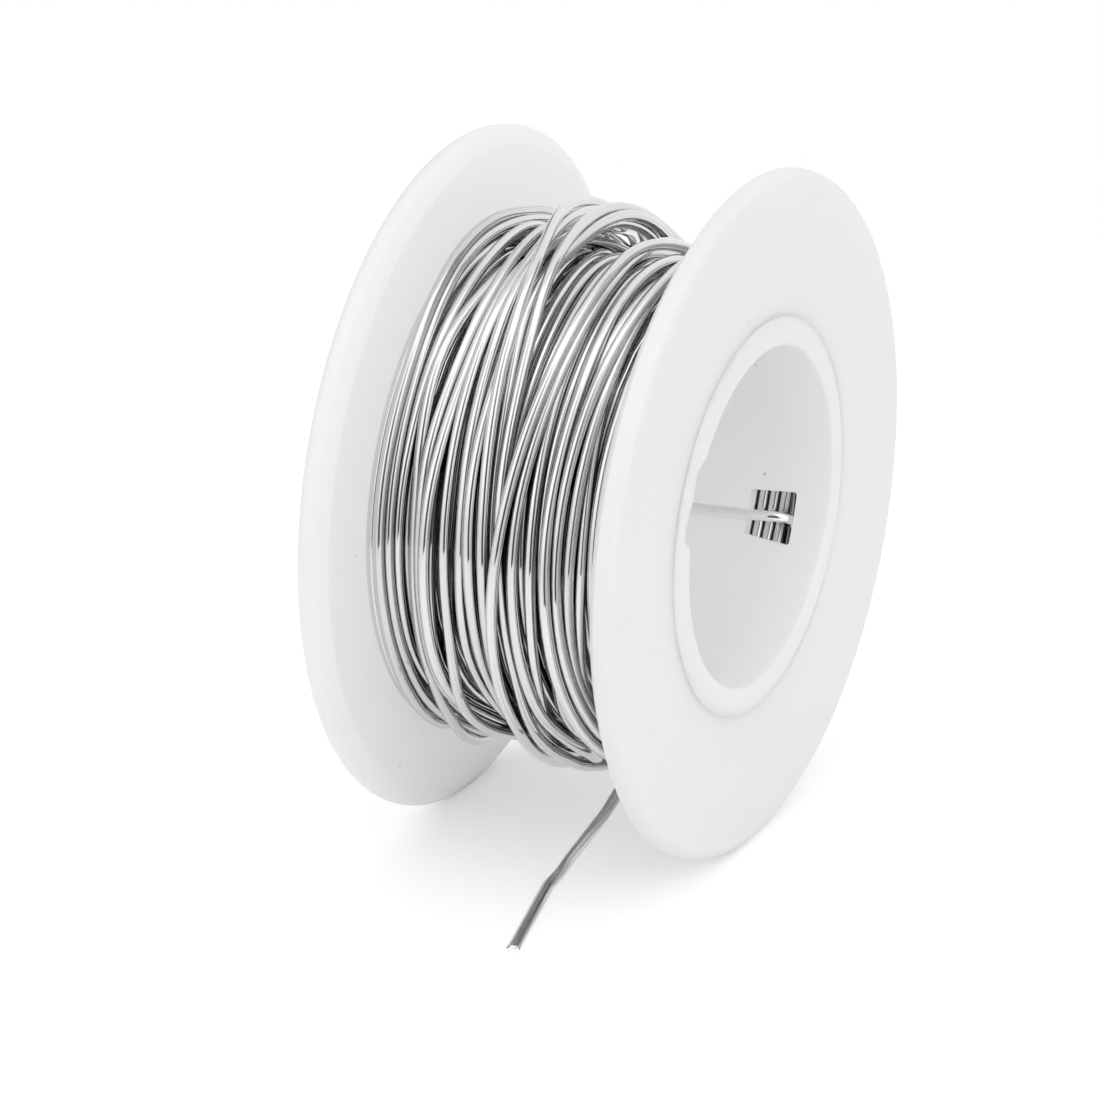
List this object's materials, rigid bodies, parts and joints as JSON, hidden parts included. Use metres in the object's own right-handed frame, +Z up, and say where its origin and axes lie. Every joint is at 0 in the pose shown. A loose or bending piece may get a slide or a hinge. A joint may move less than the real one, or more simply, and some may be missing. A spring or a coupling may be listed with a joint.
{
  "type": "solder wire spool",
  "caption": "Round plastic spool of bright solder wire: flat flanges on a hub tube with a plain through bore, wire wound between them, one end drawn out along the bench.",
  "frame": {"origin": "on the bench, midway between the flanges and straight below the bore's axis, where the spool stands on its two rims", "axes": "+X along the bore's axis towards the front flange, which is the one beside the window in the hub; +Z up; +Y away from the side on which the loose end of the wire is drawn out"},
  "size_m": [0.0236, 0.0487, 0.048],
  "materials": {
    "spool_plastic": "satin, moulded, slightly translucent white",
    "solder": "bright drawn soft solder"
  },
  "bodies": {
    "root": {"hub_tube": "spool_plastic", "front_flange": "spool_plastic", "back_flange": "spool_plastic", "wire_winding": "solder", "wire_outer_tail": "solder", "wire_inner_tail": "solder"}
  },
  "joints": []
}
